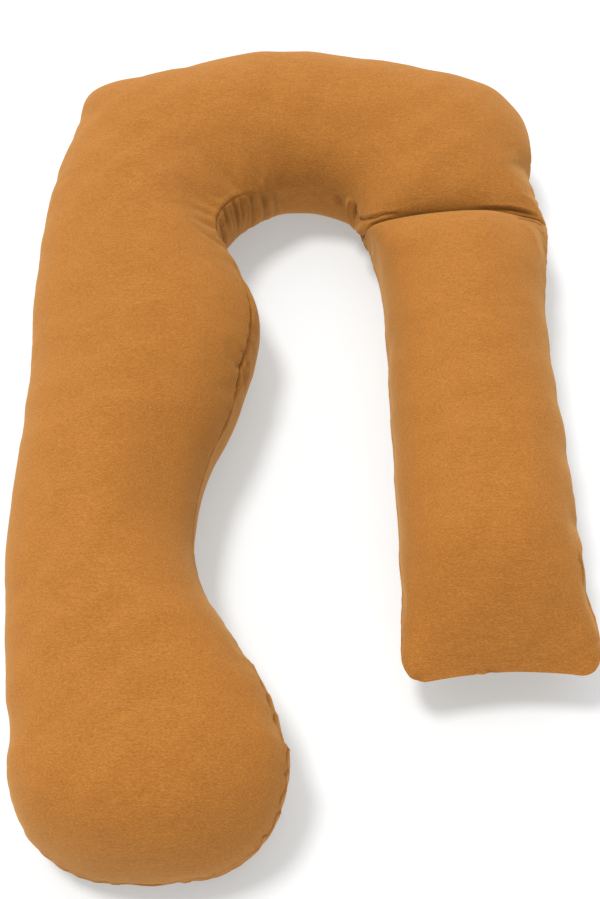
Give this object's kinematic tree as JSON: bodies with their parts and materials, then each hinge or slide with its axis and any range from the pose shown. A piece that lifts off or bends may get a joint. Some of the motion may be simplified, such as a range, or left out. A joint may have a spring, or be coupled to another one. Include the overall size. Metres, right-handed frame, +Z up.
{
  "type": "pregnancy pillow",
  "caption": "U-shaped body pillow with a wide rounded foot on its long arm, a bent head and a short arm hinged on a creased seam.",
  "frame": {"origin": "centre of the bounding box's base, on the surface that the pillow lies on", "axes": "+Y from the foot towards the head, along the arms; +X from the long arm to the short arm; +Z up, out of the upper panel"},
  "size_m": [0.8098, 1.3788, 0.203],
  "materials": {
    "jersey": "matte mustard cotton jersey with a fine heather fleck"
  },
  "bodies": {
    "root": {"pillow": "jersey"}
  },
  "joints": []
}
